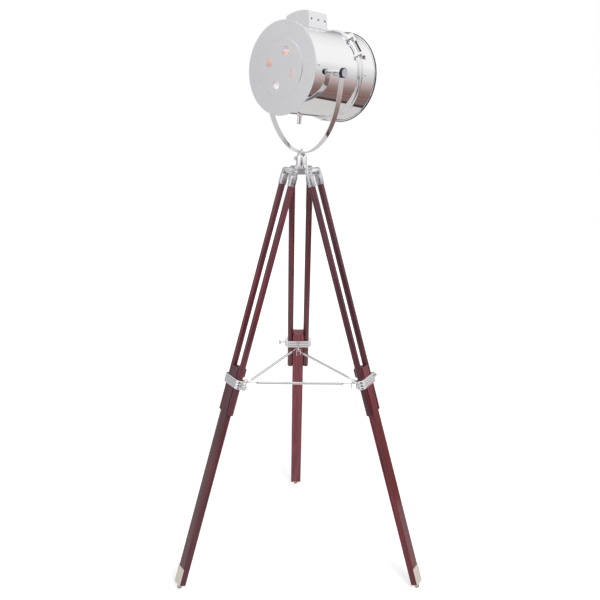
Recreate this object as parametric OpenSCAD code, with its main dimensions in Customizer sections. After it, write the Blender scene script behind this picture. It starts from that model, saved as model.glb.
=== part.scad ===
// Tripod spotlight floor lamp: a polished drum head in a bent-strap yoke, on a folding
// and extending tripod of round rods with grooved lower bars. Millimetres, +Z up.
// The head points along +Y and the floor is z = 0.

/* [Tripod] */
// lean of each leg from the vertical, degrees
leg_lean = 17.155; // [12:0.005:22]
// azimuth of leg 1, degrees; the other two follow at 120 and 240
tripod_turn = 14.2; // [0:0.1:119]
// distance of the leg hinges from the tripod axis
hinge_r = 37.4; // [30:0.1:50]
// hinge to the centre of the ball foot, along the leg
leg_len = 1312; // [1100:1:1500]

/* [Leg rods] */
// diameter of the two round rods of a leg
rod_d = 19; // [15:0.5:25]
// spacing of the two rods, centre to centre
rod_pitch = 52; // [46:0.5:60]
// hinge to the top end of a rod
rod_top = 13; // [12:0.5:20]
// hinge to the bottom end of a rod
rod_bottom = 741; // [600:1:900]
// outside diameter of a ferrule cup
cup_d = 22.5; // [21:0.5:26]
// hinge to the top and to the bottom edge of a cup
cup_span = [10, 42]; // [8:0.5:80]
// thickness of a ferrule tongue
tongue_t = 10; // [6:0.5:14]
// diameter of the hinge bolts
bolt_d = 6; // [4:0.5:8]

/* [Lower bar] */
// width of the lower bar across the leg
bar_w = 36; // [30:0.5:44]
// depth of the lower bar along the leg's outward direction
bar_t = 20; // [16:0.5:26]
// hinge to the top end of the lower bar
bar_top = 594; // [500:1:700]
// bottom end of the lower bar to the centre of the ball foot
foot_drop = 11; // [10:0.5:30]
// hinge to the rounded end of the bar's side grooves
groove_end = 1150; // [1000:1:1250]
// height of the stop block at the top of the bar
stop_h = 27; // [15:1:40]
// thickness of the stop block
stop_t = 11; // [6:0.5:16]
// height of the metal foot plate on the bar's outer face
plate_h = 56; // [30:1:80]
// thickness of the foot plate
plate_t = 2; // [1:0.5:4]
// diameter of the ball foot
ball_d = 15; // [10:0.5:25]

/* [Clamp and spreader] */
// hinge to the top edge of a clamp band
clamp_top = 626; // [560:1:700]
// height of a clamp band
clamp_h = 27; // [18:1:40]
// half length and half depth of a clamp band
clamp_half = [44.4, 14.5]; // [12:0.1:60]
// thumbscrew shaft diameter
thumb_d = 5; // [3:0.5:8]
// thumbscrew head diameter
thumb_head_d = 17; // [12:0.5:24]
// distance of the thumbscrew head's two faces from the leg's middle plane
thumb_head_span = [58, 65]; // [50:0.5:80]
// eye screw below the top edge of its clamp band
eye_below = 10; // [6:0.5:20]
// distance of the eye's centre inside the leg's middle surface
eye_in = 40; // [30:0.5:50]
// inside diameter of the eye
eye_hole_d = 8; // [6:0.5:12]
// wire diameter of the eye
eye_wire_d = 3; // [2:0.5:4]
// diameter of the spreader tubes
spread_d = 8; // [4:0.5:10]
// diameter of the wire ends of the spreader rods
wire_d = 2.6; // [2:0.1:4]
// length of the bent-down wire tails
tail_len = 20; // [8:1:30]

/* [Hub and yoke] */
// diameter of the hub post
post_d = 31; // [24:0.5:40]
// height of the top of the hub post above the leg hinges
post_h = 45.87; // [35:0.01:70]
// height of the taper at the top of the hub post
post_taper = 7; // [2:0.5:12]
// diameter of the yoke spigot inside the post
spigot_d = 16; // [10:0.5:20]
// azimuth of the lock screw in the post
lock_az = 222.9; // [0:0.1:360]
// height of the head's pivots above the leg hinges
pivot_h = 276.17; // [240:0.01:340]
// outer half width of the yoke at its pivots
yoke_half_w = 145; // [130:0.5:160]
// depth of the yoke strap's half ellipse below the pivots
yoke_depth = 226.3; // [180:0.1:260]
// width of the yoke strap
strap_w = 20; // [14:0.5:30]
// thickness of the yoke strap
strap_t = 3; // [2:0.5:5]
// diameter of the tilt knobs
knob_d = 27; // [20:0.5:36]
// thickness of the tilt knobs
knob_t = 9.7; // [6:0.1:14]

/* [Lamp head] */
// tilt of the head below the horizontal, degrees
head_tilt = 6.7; // [-10:0.1:45]
// outside radius of the drum
drum_r = 119; // [100:0.5:130]
// sheet thickness of the drum
sheet = 1.2; // [0.8:0.1:2]
// outer face of the rear plate and front face of the bezel, from the pivots
head_span = [-85.4, 173.9]; // [-120:0.1:220]
// radius of the rear plate
plate_r = 127; // [120:0.5:140]
// radius and height of the raised boss on the rear plate
boss = [80, 1.6]; // [1:0.1:100]
// diameter of the four light holes in the rear plate
light_d = 24; // [12:0.5:30]
// distance of the light holes from the drum's axis
light_r = 47.6; // [35:0.1:60]
// turn of the light holes clockwise from the top, degrees
light_turn = 15.6; // [0:0.1:89]
// plane of the seam between drum and bezel
seam_l = 110.2; // [100:0.1:130]
// outside radius of the drum's and of the bezel's rolled bead
bead_r = [125.5, 127]; // [120:0.1:135]
// width of each rolled bead
bead_w = 9; // [6:0.5:12]
// outside radius of the bezel
bezel_r = 125; // [120:0.5:130]
// outside radius of the bezel's front lip
lip_r = 128.6; // [125:0.1:135]
// half width of the vent box
vent_half_w = 42.5; // [30:0.5:55]
// rear and front wall of the vent box
vent_span = [-10, 66]; // [-40:0.5:90]
// height of the vent box at its side walls, from the drum's axis
vent_side_h = 156.7; // [140:0.1:175]
// radius of the vent box roof
vent_roof_r = 142; // [100:1:200]
// turn of the vent box to the left of the top, degrees
vent_roll = 10.8; // [0:0.1:20]
// places of the vent box's side holes along the head, and their height
vent_holes = [[1, 29, 57], 136]; // [-20:0.5:160]
// place of the switch along the head
switch_l = 5; // [-40:0.5:60]
// distance of the switch knob's tip from the drum's axis
switch_tip = 145; // [135:0.5:160]
// diameter of the switch knob
switch_d = 12.4; // [8:0.1:18]

/* [Bezel hinge] */
// angle of the bezel hinge clockwise from the top, degrees
hinge_turn = 50; // [0:1:90]
// distance of the hinge pin from the drum's axis
pin_h = 130; // [128:0.1:136]
// diameter of the hinge pin
pin_d = 4; // [3:0.1:6]
// knuckle radius
knuckle_r = 4; // [3:0.1:6]
// ends of the wide hinge along the pin, rear leaf first
wide_hinge = [-42, -28.7, -28.4, -15]; // [-60:0.1:60]
// ends of the narrow hinge along the pin, rear leaf first
narrow_hinge = [23, 29.8, 30.1, 37]; // [-60:0.1:60]

/* [Fits] */
// radial clearance of turning fits
run = 0.05; // [0.02:0.01:0.1]
// gap between pieces that slide past each other
gap = 0.3; // [0.3:0.05:0.6]

/* [Hidden] */
$fn = 64;
BIG = 400;
legs = [1, 2, 3];
rod_r = rod_d / 2;
rod_y = rod_pitch / 2;
bolt_r = bolt_d / 2;
ball_r = ball_d / 2;
wire_r = wire_d / 2;
hinge_z = leg_len * cos(leg_lean) + ball_r;
post_top = hinge_z + post_h;
pivot_z = hinge_z + pivot_h;
bar_span = [bar_top, leg_len - foot_drop];
eye_l = clamp_top + eye_below;
tongue_r = 9;
tongue_y = [rod_y - tongue_t / 2, rod_y + tongue_t / 2];
barrel_r = tongue_r;
barrel_half = tongue_y[0] - gap;
plate_n = bar_t / 2 + plate_t;
plate_l = bar_span[1] + plate_t;
toe_r = hinge_r + plate_l * sin(leg_lean) + plate_n * cos(leg_lean);
toe_w = bar_w / 2;
az = [for (k = legs) tripod_turn + 120 * (k - 1)];
toes_x = [for (a = az) for (s = [-1, 1]) toe_r * cos(a) - s * toe_w * sin(a)];
toes_y = [for (a = az) for (s = [-1, 1]) toe_r * sin(a) + s * toe_w * cos(a)];
axis_x = -(max(toes_x) + min(toes_x)) / 2;
axis_y = -(max(toes_y) + min(toes_y)) / 2;
clamp_mid = clamp_top + clamp_h / 2;
ridge_r = clamp_h / 6;
spigot_r = spigot_d / 2;
strap_low = pivot_z - yoke_depth;
lock_z = post_top - 12;
// eye centre and the rod's swing line just below it, in a leg's own azimuth
eye_r = hinge_r + eye_l * sin(leg_lean) - eye_in * cos(leg_lean);
eye_z = hinge_z - eye_l * cos(leg_lean) - eye_in * sin(leg_lean);
eye_ring_r = (eye_hole_d + eye_wire_d) / 2;
swing_drop = eye_hole_d / 2 - wire_r - 0.6;
swing_z = eye_z - swing_drop;
under_z = eye_z - eye_ring_r - eye_wire_d / 2 - wire_r - gap - 0.05;
crank = 8;
bend_r = 4;
eye_pitch = eye_r * sqrt(3);
spread_len = sqrt(pow(eye_pitch, 2) - pow(crank, 2));
spread_turn = 150 + asin(crank / eye_pitch);
spread_dip = atan((swing_z - under_z) / spread_len);
past_eye = 9;
wire_end = 30;
// lamp head
shell_l = [head_span[0] + 1.5, seam_l - 0.2];
bead_c = bead_w / 2;
pivot_r = 3;
spacer_r = 8;
pin_l = seam_l + 0.3;
hinge_y = yoke_half_w + gap;
roof_top = vent_side_h + vent_roof_r - sqrt(pow(vent_roof_r, 2) - pow(vent_half_w, 2));
screw_turns = [0, 120, 240];
glass_l = head_span[1] - 6;

// ---- shared frames ----

// tripod axis at height z
module on_axis(z = 0) { translate([axis_x, axis_y, z]) children(); }

// leg k: x outward across the leg, y along its hinge, z up the leg, hinge at the origin
module leg(k) {
  on_axis(hinge_z) rotate([0, 0, az[k - 1]]) translate([hinge_r, 0, 0])
    rotate([0, -leg_lean, 0]) children();
}

// a point at distance l down the leg
module down(l) { translate([0, 0, -l]) children(); }

// lamp head: x right, y forward along the drum, z up, pivots at the origin
module head() { on_axis(pivot_z) rotate([-head_tilt, 0, 0]) children(); }

// turns a shape made about z to lie about the drum's axis, z = 0 at l
module along(l = 0) { translate([0, l, 0]) rotate([-90, 0, 0]) children(); }

// cylinder about the drum's axis between two places
module drum_cyl(r, l0, l1) { along(l0) cylinder(r = r, h = l1 - l0); }

// rolled bead about the drum's axis
module bead(r, l, w) { along(l) rotate_extrude() translate([r - w / 2, 0]) circle(r = w / 2); }

// part of a tube about the drum's axis, centred at the top
module sector(r0, r1, l0, l1, half_deg) {
  along(l0) rotate([0, 0, -90 - half_deg]) rotate_extrude(angle = 2 * half_deg)
    translate([r0, 0]) square([r1 - r0, l1 - l0]);
}

// turns to an angle clockwise from the top, seen from behind
module clock(a) { rotate([0, a, 0]) children(); }

// cylinder along y, centred
module rod_y(r, h) { rotate([90, 0, 0]) cylinder(r = r, h = h, center = true); }

// profile in (y, z) pushed along x between two places
module across(x0, x1) { translate([x0, 0, 0]) rotate([90, 0, 90]) linear_extrude(x1 - x0) children(); }

// quarter bend of wire in the x-y plane: starts at the origin along +x and ends along +y
module bend(r, w) {
  translate([0, r, 0]) rotate([0, 0, -90]) rotate_extrude(angle = 90) translate([r, 0]) circle(r = w);
}

// round-headed screw along +z, its head resting on z = 0
module screw(r, head_r, head_h, len) {
  translate([0, 0, -len]) cylinder(r = r, h = len + 0.5);
  intersection() {
    cylinder(r = head_r, h = head_h);
    translate([0, 0, head_h - head_r * 1.6]) sphere(r = head_r * 1.6);
  }
}

// ---- hub ----

module hub_block() {
  // six sides: long ones face the legs, short ones stand between them
  face = barrel_half + 5.1;
  arm_half = barrel_half - 1.2;
  block_z = [-8, 9];
  on_axis(hinge_z) {
    translate([0, 0, block_z[0]]) linear_extrude(block_z[1] - block_z[0])
      polygon([for (a = az) for (s = [-1, 1])
        [face * cos(a) - s * barrel_half * sin(a), face * sin(a) + s * barrel_half * cos(a)]]);
    for (a = az) rotate([0, 0, a]) {
      translate([face - 6, -arm_half, block_z[0] + 0.5])
        cube([hinge_r - face + 6, 2 * arm_half, block_z[1] - block_z[0] - 1.7]);
      translate([hinge_r, 0, 0]) rod_y(barrel_r, 2 * barrel_half);
    }
    translate([0, 0, block_z[1] - 0.5]) cylinder(r1 = post_d / 2 + 6.5, r2 = post_d / 2 - 1, h = 9);
  }
  on_axis(hinge_z) cylinder(r = post_d / 2, h = post_top - post_taper - hinge_z);
  on_axis(post_top - post_taper) cylinder(r1 = post_d / 2, r2 = spigot_r + 3.5, h = post_taper);
}

module hub() {
  color([0.82, 0.83, 0.85]) difference() {
    hub_block();
    on_axis(hinge_z + 1) cylinder(r = spigot_r + run, h = BIG);
    on_axis(hinge_z) for (a = az) rotate([0, 0, a]) translate([hinge_r, 0, 0])
      rod_y(bolt_r + run, 2 * barrel_half + 2);
    on_axis(lock_z) rotate([0, 0, lock_az]) rotate([0, 90, 0]) cylinder(r = 2.5 + run, h = 30);
  }
}

module hinge_bolts() {
  head_y = tongue_y[1] + gap;
  color([0.75, 0.76, 0.78]) on_axis(hinge_z) for (a = az) rotate([0, 0, a])
    translate([hinge_r, 0, 0]) {
      rod_y(bolt_r, 2 * head_y + 0.5);
      for (s = [0, 180]) rotate([0, 0, s]) translate([0, head_y, 0]) rotate([-90, 0, 0])
        difference() {
          screw(bolt_r, 5.5, 3, 0.5);
          translate([0, 0, 1.2]) cylinder(d = 5.8, h = 4, $fn = 6);
        }
    }
}

module pan_lock_screw() {
  color([0.8, 0.81, 0.83]) on_axis(lock_z) rotate([0, 0, lock_az])
    translate([post_d / 2 + gap, 0, 0]) rotate([0, 90, 0])
      screw(2.5, 6, 6, post_d / 2 - spigot_r - 0.1);
}

// ---- legs ----

module ferrules(k) {
  color([0.8, 0.81, 0.83]) leg(k) for (s = [-1, 1]) translate([0, s * rod_y, 0])
    difference() {
      union() {
        rod_y(tongue_r, tongue_t);
        translate([-tongue_r, -tongue_t / 2, -cup_span[0] - 2])
          cube([2 * tongue_r, tongue_t, cup_span[0] + 2]);
        down(cup_span[0] + 2) cylinder(r1 = cup_d / 2, r2 = cup_d / 2 - 1.5, h = 2);
        down(cup_span[1]) cylinder(r = cup_d / 2, h = cup_span[1] - cup_span[0] - 2);
      }
      down(cup_span[1] + 1) cylinder(r = rod_r + run, h = cup_span[1] + 1 - rod_top);
      rod_y(bolt_r + run, tongue_t + 2);
    }
}

module rods(k) {
  tip_r = 14;
  color([0.22, 0.08, 0.06]) leg(k) for (s = [-1, 1]) translate([0, s * rod_y, 0])
    intersection() {
      down(rod_bottom) cylinder(r = rod_r, h = rod_bottom - rod_top);
      union() {
        down(rod_bottom - tip_r) cylinder(r = tip_r, h = rod_bottom);
        down(rod_bottom - tip_r) sphere(r = tip_r);
      }
    }
}

// half of the clamp band's section in (distance from its middle line, height): three ridges
function ridge_points() = let (r = clamp_half[1], c = 1.4)
  [for (i = [0 : 2]) let (z = 2 * ridge_r * i, w = 2 * ridge_r)
    each [[r - c, z], [r, z + c + 0.4], [r, z + w - c - 0.4], [r - c, z + w]]];

module clamp_band() {
  end_y = clamp_half[0] - clamp_half[1];
  side = [for (i = [0 : 11]) if (i % 4 != 3 || i == 11) ridge_points()[i]];
  pts = concat([[0, 0]], side, [[0, clamp_h]]);
  flip = [for (i = [len(side) - 1 : -1 : 0]) [-side[i][0], side[i][1]]];
  for (s = [-1, 1]) translate([0, s * end_y, 0]) rotate_extrude() polygon(pts);
  translate([0, end_y, 0]) rotate([90, 0, 0]) linear_extrude(2 * end_y) polygon(concat(side, flip));
}

module clamp(k) {
  color([0.8, 0.81, 0.83]) leg(k) difference() {
    down(clamp_top + clamp_h) clamp_band();
    for (s = [-1, 1]) translate([0, s * rod_y, 0])
      down(clamp_top + clamp_h + 5) cylinder(r = rod_r + run, h = clamp_h + 10);
    translate([-bar_t / 2 - gap, -bar_w / 2 - gap, -clamp_top - clamp_h - 5])
      cube([bar_t + 2 * gap, bar_w + 2 * gap, clamp_h + 10]);
    down(clamp_mid) translate([0, rod_y, 0]) rotate([-90, 0, 0])
      cylinder(r = thumb_d / 2 + run, h = BIG);
    down(eye_l) rotate([0, -90, 0]) cylinder(r = 2 + run, h = 30);
  }
}

module eye_screw(k) {
  color([0.8, 0.81, 0.83]) leg(k) down(eye_l) {
    translate([-eye_in, 0, 0]) rotate([90, 0, 0]) rotate_extrude()
      translate([eye_ring_r, 0]) circle(d = eye_wire_d);
    translate([-bar_t / 2 - gap - 0.4, 0, 0]) rotate([0, -90, 0])
      cylinder(r = 2, h = eye_in - eye_ring_r - bar_t / 2 - gap - 0.4);
    translate([-clamp_half[1], 0, 0]) rotate([0, -90, 0]) cylinder(r = 4, h = 2.5);
  }
}

module thumbscrew(k) {
  color([0.82, 0.83, 0.85]) leg(k) down(clamp_mid) {
    translate([0, rod_y + rod_r + 0.5, 0]) rotate([-90, 0, 0])
      cylinder(d = thumb_d, h = thumb_head_span[1] - rod_y - rod_r - 1);
    translate([0, thumb_head_span[0], 0]) rotate([-90, 0, 0]) {
      cylinder(d1 = thumb_head_d - 4, d2 = thumb_head_d, h = 1.5);
      translate([0, 0, 1.5]) cylinder(d = thumb_head_d, h = thumb_head_span[1] - thumb_head_span[0] - 3);
      translate([0, 0, thumb_head_span[1] - thumb_head_span[0] - 1.5])
        cylinder(d1 = thumb_head_d, d2 = thumb_head_d - 4, h = 1.5);
    }
  }
}

module lower_bar(k) {
  c = 1.2;
  x = bar_t / 2;
  y = bar_w / 2;
  groove_r = rod_r + gap;
  run_out = sqrt(pow(groove_r, 2) - pow(rod_y - y, 2));
  color([0.24, 0.09, 0.06]) leg(k) difference() {
    down(bar_span[1]) linear_extrude(bar_span[1] - bar_span[0])
      polygon([[x - c, y], [x, y - c], [x, c - y], [x - c, -y],
               [c - x, -y], [-x, c - y], [-x, y - c], [c - x, y]]);
    for (s = [-1, 1]) translate([0, s * rod_y, 0]) {
      down(groove_end - run_out) cylinder(r = groove_r, h = BIG * 2);
      down(groove_end - run_out) sphere(r = groove_r);
    }
    down(bar_span[1] + 1) cylinder(r = 3.5, h = 12);
  }
}

module stop_block(k) {
  color([0.2, 0.08, 0.06]) leg(k) translate([-bar_t / 2 - stop_t, 0, -bar_span[0] - stop_h])
    across(0, stop_t) polygon([
      [1 - bar_w / 2, 0], [bar_w / 2 - 1, 0], [bar_w / 2, 1], [bar_w / 2, stop_h - 3],
      [bar_w / 2 - 3, stop_h], [3 - bar_w / 2, stop_h], [-bar_w / 2, stop_h - 3], [-bar_w / 2, 1]]);
}

module foot_plate(k) {
  color([0.78, 0.79, 0.81]) leg(k) difference() {
    union() {
      translate([bar_t / 2, -bar_w / 2, -plate_l]) cube([plate_t, bar_w, plate_h]);
      translate([-bar_t / 2, -bar_w / 2, -plate_l]) cube([bar_t + plate_t, bar_w, plate_t]);
    }
    down(plate_l + 1) cylinder(r = 3.5 + run, h = plate_t + 2);
  }
}

module ball_foot(k) {
  color([0.62, 0.6, 0.58]) leg(k) {
    down(leg_len) sphere(r = ball_r);
    down(leg_len) cylinder(r = 3.5, h = leg_len - bar_span[1] + 10);
  }
}

// spreader rod from the eye of leg k to just below the eye of the next leg; its local
// x runs along the rod, y along the swing line through the eye
module spreader(k) {
  tube = [wire_end, spread_len - wire_end];
  nose = 5;
  color([0.78, 0.79, 0.81]) on_axis(swing_z) rotate([0, 0, az[k - 1]])
    translate([eye_r, 0, 0]) rotate([0, 0, spread_turn]) rotate([0, spread_dip, 0]) {
      // through the eye, then down
      rod_y(wire_r, 2 * (crank - bend_r));
      translate([0, crank - bend_r, 0]) rotate([0, 90, 0]) rotate([0, 0, 90]) rotate([180, 0, 0])
        bend(bend_r, wire_r);
      translate([0, crank, -tail_len]) cylinder(r = wire_r, h = tail_len - bend_r);
      // back from the eye and along the rod
      translate([0, bend_r - crank, 0]) rotate([0, 0, -90]) bend(bend_r, wire_r);
      translate([bend_r, -crank, 0]) rotate([0, 90, 0]) {
        cylinder(r = wire_r, h = tube[0] - bend_r);
        translate([0, 0, tube[0] - bend_r]) {
          cylinder(r1 = wire_r + 0.4, r2 = spread_d / 2, h = nose);
          translate([0, 0, nose]) cylinder(d = spread_d, h = tube[1] - tube[0] - 2 * nose);
          translate([0, 0, tube[1] - tube[0] - nose])
            cylinder(r1 = spread_d / 2, r2 = wire_r + 0.4, h = nose);
        }
        translate([0, 0, tube[1] - bend_r])
          cylinder(r = wire_r, h = spread_len + past_eye - bend_r - tube[1]);
      }
      // tail past the next eye
      translate([spread_len + past_eye - bend_r, -crank, 0]) rotate([-90, 0, 0]) bend(bend_r, wire_r);
      translate([spread_len + past_eye, -crank, -tail_len]) cylinder(r = wire_r, h = tail_len - bend_r);
    }
}

// ---- yoke ----

module yoke_spigot() {
  color([0.75, 0.76, 0.78]) difference() {
    union() {
      on_axis(hinge_z + 3) cylinder(r = spigot_r, h = strap_low - hinge_z - 3);
      on_axis(post_top + gap) cylinder(r = spigot_r + 3, h = strap_low - post_top - gap);
    }
    on_axis(strap_low - 22) cylinder(r = 2.5 + run, h = 30);
  }
}

function arc(rx, rz, a0, a1, n) =
  [for (i = [0 : n]) let (a = a0 + (a1 - a0) * i / n) [rx * cos(a), rz * sin(a)]];

module yoke_strap() {
  inner = [yoke_half_w - strap_t, yoke_depth - strap_t];
  color([0.8, 0.81, 0.83]) difference() {
    on_axis(pivot_z) {
      rotate([90, 0, 0]) linear_extrude(strap_w, center = true)
        polygon(concat(arc(yoke_half_w, yoke_depth, 180, 360, 72), arc(inner[0], inner[1], 360, 180, 72)));
      for (s = [-1, 1]) translate([s * (yoke_half_w - strap_t / 2), 0, 0]) rotate([0, 90, 0])
        cylinder(d = strap_w, h = strap_t, center = true);
    }
    on_axis(pivot_z) rotate([0, 90, 0]) cylinder(r = pivot_r + run, h = BIG, center = true);
    on_axis(strap_low - 5) cylinder(r = 2.5 + run, h = 10);
  }
}

module yoke_bolt() {
  color([0.8, 0.81, 0.83]) {
    on_axis(strap_low + strap_t + 0.1) {
      cylinder(r = 3.75, h = 5);
      translate([0, 0, 5]) intersection() {
        translate([0, 0, -2.1]) sphere(r = 5.6);
        cylinder(r = 3.75, h = 4);
      }
    }
    on_axis(strap_low - 20) cylinder(r = 2.5, h = 20 + strap_t + 1);
  }
}

module tilt_knob(side) {
  color([0.78, 0.79, 0.81]) head() mirror([side < 0 ? 1 : 0, 0, 0]) {
    translate([drum_r - 7, 0, 0]) rotate([0, 90, 0]) cylinder(r = pivot_r, h = hinge_y - drum_r + 8);
    translate([hinge_y, 0, 0]) rotate([0, 90, 0]) {
      cylinder(d1 = knob_d - 3, d2 = knob_d, h = 1.5);
      translate([0, 0, 1.5]) cylinder(d = knob_d, h = knob_t - 3.5);
      translate([0, 0, knob_t - 2]) cylinder(d1 = knob_d, d2 = knob_d - 4, h = 2);
    }
  }
}

module pivot_spacers() {
  inner_x = yoke_half_w - strap_t - gap;
  color([0.78, 0.79, 0.81]) head() for (s = [0, 1]) mirror([s, 0, 0]) difference() {
    union() {
      difference() {
        translate([drum_r - 4, 0, 0]) rotate([0, 90, 0]) cylinder(r = spacer_r, h = inner_x - drum_r + 4);
        drum_cyl(drum_r, -20, 20);
      }
      translate([drum_r - 9, 0, 0]) rotate([0, 90, 0]) cylinder(r = 5, h = 12);
      intersection() {
        translate([drum_r - 9, 0, 0]) rotate([0, 90, 0]) cylinder(r = 8.5, h = 12, $fn = 6);
        drum_cyl(drum_r - sheet, -20, 20);
      }
    }
    rotate([0, 90, 0]) cylinder(r = pivot_r + run, h = BIG);
  }
}

// ---- drum ----

module drum_shell() {
  color([0.84, 0.85, 0.87]) head() difference() {
    union() {
      drum_cyl(drum_r, shell_l[0], shell_l[1] - bead_c);
      bead(bead_r[0], shell_l[1] - bead_c, bead_w);
    }
    drum_cyl(drum_r - sheet, shell_l[0] - 1, shell_l[1] + 1);
    bead(bead_r[0] - sheet, shell_l[1] - bead_c, bead_w - 2 * sheet);
    rotate([0, 90, 0]) cylinder(r = 5 + run, h = BIG, center = true);
    clock(180) translate([0, switch_l, 0]) cylinder(r = 6 + run, h = BIG);
    clock(inlet_turn) translate([0, inlet_l, 0]) cylinder(r = 5.5 + run, h = BIG);
    clock(-vent_roll) translate([-30, vent_span[0] + 8, 100]) cube([60, vent_span[1] - vent_span[0] - 16, 30]);
    for (a = screw_turns) clock(83 + a) translate([0, -65, 0]) cylinder(r = 1.6 + run, h = BIG);
  }
}

inlet_turn = 197;
inlet_l = -48;

module light_holes() {
  for (i = [0 : 3]) clock(light_turn + 90 * i) translate([0, 0, light_r])
    along(head_span[0] - 10) cylinder(d = light_d, h = 20);
}

module rear_plate() {
  color([0.82, 0.83, 0.84]) head() difference() {
    union() {
      drum_cyl(plate_r - 1.6, head_span[0], shell_l[0]);
      bead(plate_r, head_span[0] + 1.6, 3.2);
      difference() {
        drum_cyl(drum_r - sheet - run, head_span[0] + 0.5, head_span[0] + 27);
        drum_cyl(drum_r - 2 * sheet - run, head_span[0], head_span[0] + 28);
      }
    }
    light_holes();
    for (a = screw_turns) clock(83 + a) translate([0, -65, 100]) cylinder(r = 1.6, h = BIG);
  }
}

module rear_boss() {
  color([0.84, 0.85, 0.86]) head() difference() {
    union() {
      drum_cyl(boss[0], head_span[0] - boss[1] + 1.2, head_span[0]);
      along(head_span[0] - boss[1]) cylinder(r1 = boss[0] - 1.2, r2 = boss[0], h = 1.2);
    }
    light_holes();
  }
}

module shell_screws() {
  color([0.7, 0.71, 0.73]) head() for (a = screw_turns) clock(83 + a)
    translate([0, -65, drum_r + 0.02]) screw(1.6, 3.4, 2.2, 5);
}

module vent_body(inset) {
  // box under a curved roof, open towards the drum
  x = vent_half_w - inset;
  intersection() {
    translate([-x, vent_span[0] + inset, 80]) cube([2 * x, vent_span[1] - vent_span[0] - 2 * inset, 120]);
    translate([0, 0, roof_top - vent_roof_r]) drum_cyl(vent_roof_r - inset, -60, 120);
  }
}

module vent_box() {
  flange_deg = asin((vent_half_w + 7) / drum_r);
  color([0.83, 0.84, 0.85]) head() clock(-vent_roll) difference() {
    union() {
      vent_body(0);
      sector(drum_r, drum_r + sheet, vent_span[0] - 20, vent_span[1] + 7, flange_deg);
    }
    vent_body(sheet);
    drum_cyl(drum_r, -60, 120);
    for (l = vent_holes[0]) translate([vent_half_w - 5, l, vent_holes[1]]) rotate([0, 90, 0])
      cylinder(r = 3.1, h = 10);
    for (p = vent_screw_places) clock(p[0]) translate([0, p[1], 100]) cylinder(r = 1.5, h = 40);
  }
}

vent_screw_places = [[-14, -21], [14, -21], [-22.6, 28], [22.6, 28]];

module vent_screws() {
  color([0.7, 0.71, 0.73]) head() clock(-vent_roll) for (p = vent_screw_places)
    clock(p[0]) translate([0, p[1], drum_r + sheet + 0.02]) screw(1.5, 3, 1.8, 1.1);
}

module switch_body() {
  color([0.75, 0.76, 0.78]) head() clock(180) translate([0, switch_l, 0]) difference() {
    union() {
      translate([-11, -14, drum_r - 30]) cube([22, 28, 24]);
      translate([0, 0, drum_r - 8]) cylinder(r = 6, h = 11);
      intersection() {
        translate([0, 0, drum_r - 8]) cylinder(r = 9, h = 10);
        drum_cyl(drum_r - sheet, -20, 20);
      }
      difference() {
        translate([0, 0, drum_r - 2]) cylinder(r = 8.6, h = 5, $fn = 6);
        drum_cyl(drum_r, -20, 20);
      }
    }
    translate([0, 0, drum_r - 5]) cylinder(r = 2.5 + run, h = 20);
  }
}

module switch_knob() {
  foot = drum_r + 3 + gap;
  color([0.82, 0.83, 0.85]) head() clock(180) translate([0, switch_l, 0]) {
    translate([0, 0, drum_r - 4]) cylinder(r = 2.5, h = 12);
    translate([0, 0, foot]) cylinder(d1 = switch_d, d2 = switch_d - 0.6, h = switch_tip - foot - 1.2);
    translate([0, 0, switch_tip - 1.2]) cylinder(d1 = switch_d - 0.6, d2 = switch_d - 3, h = 1.2);
  }
}

module cord_inlet() {
  color([0.05, 0.05, 0.05]) head() clock(inlet_turn) translate([0, inlet_l, 0]) difference() {
    union() {
      translate([0, 0, drum_r - 6]) cylinder(r = 5.5, h = 8);
      difference() {
        translate([0, 0, drum_r - 3]) cylinder(r = 8, h = 5.5);
        drum_cyl(drum_r, -20, 20);
      }
      intersection() {
        translate([0, 0, drum_r - 6]) cylinder(r = 7.5, h = 8);
        drum_cyl(drum_r - sheet, -20, 20);
      }
    }
    translate([0, 0, drum_r - 10]) cylinder(r = 3.25, h = 20);
  }
}

// ---- light ----

function bowl(r) = -36 + r * r / 94;

module reflector() {
  rim = 108;
  rs = [for (i = [0 : 14]) 24 + (rim - 24) * i / 14];
  color([0.86, 0.86, 0.84]) head() along() rotate_extrude() polygon(concat(
    [for (r = rs) [r, bowl(r)]],
    [[drum_r - sheet - run, bowl(rim)], [drum_r - sheet - run, bowl(rim) - 1.2], [rim + 1, bowl(rim) - 1.2]],
    [for (i = [14 : -1 : 0]) [rs[i] + 0.8, bowl(rs[i]) - 1.2]]));
}

module holder_bracket() {
  color([0.7, 0.71, 0.72]) head() {
    difference() {
      drum_cyl(27, -75.5, -74);
      drum_cyl(6, -77, -73);
    }
    for (a = [0, 120, 240]) clock(a) translate([0, 0, 22]) drum_cyl(3, shell_l[0], -75);
  }
}

module lamp_holder() {
  color([0.9, 0.89, 0.85]) head() difference() {
    union() {
      drum_cyl(19, -74, -40);
      drum_cyl(21, -46, -30);
    }
    drum_cyl(13 + run, -54, -29);
  }
}

module bulb() {
  color([1, 0.95, 0.85]) head() {
    drum_cyl(13, -53.9, -20);
    along(-24) cylinder(r1 = 13, r2 = 25, h = 18);
    translate([0, 12, 0]) sphere(r = 30);
  }
}

// ---- bezel and its hinge ----

module hinge_frame() { head() clock(hinge_turn) children(); }

// knuckle and arm of a leaf between two places along the pin; the arm's outline is in (y, z)
module leaf(x0, x1, outline) {
  across(x0, x1) polygon(outline);
  translate([x0, pin_l, pin_h]) rotate([0, 90, 0]) cylinder(r = knuckle_r, h = x1 - x0);
}

module pin_hole() {
  translate([0, pin_l, pin_h]) rotate([0, 90, 0]) cylinder(d = pin_d + 2 * run, h = BIG, center = true);
}

// leaf foot bent to the sheet that it is screwed to
module leaf_foot(x0, x1, r, l0, l1) {
  intersection() {
    sector(r, r + 2, l0, l1, 30);
    translate([x0, l0, 60]) cube([x1 - x0, l1 - l0, 80]);
  }
}

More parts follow.
